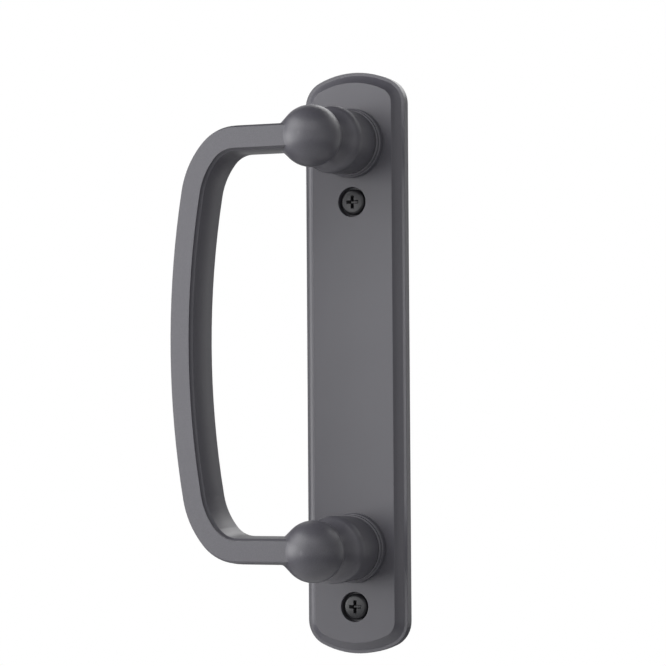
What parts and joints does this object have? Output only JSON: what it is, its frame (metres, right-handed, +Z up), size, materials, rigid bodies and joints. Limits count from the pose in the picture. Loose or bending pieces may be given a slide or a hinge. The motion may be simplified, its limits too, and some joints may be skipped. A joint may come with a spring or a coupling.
{
  "type": "sliding patio door handle",
  "caption": "Bowed pull on two flared collars and an arched backplate, for a sliding patio door; the grip stands out to one side.",
  "frame": {"origin": "middle of the backplate's back face, where it lies on the door", "axes": "+Z up along the plate, +Y into the door, -Y out towards the hand, the grip reaching to -X"},
  "size_m": [0.0837, 0.0895, 0.242],
  "materials": {
    "coated_zinc": "satin dark bronze-grey powder coat on die-cast zinc",
    "black_screw_steel": "satin black oxide steel",
    "plated_steel": "dull zinc-plated steel"
  },
  "bodies": {
    "root": {"backplate": "coated_zinc", "pull_handle": "coated_zinc", "upper_collar": "coated_zinc", "lower_collar": "coated_zinc", "upper_mounting_screw": "black_screw_steel", "lower_mounting_screw": "black_screw_steel", "upper_pull_screw": "plated_steel", "lower_pull_screw": "plated_steel", "upper_lock_washer": "plated_steel", "lower_lock_washer": "plated_steel"}
  },
  "joints": []
}
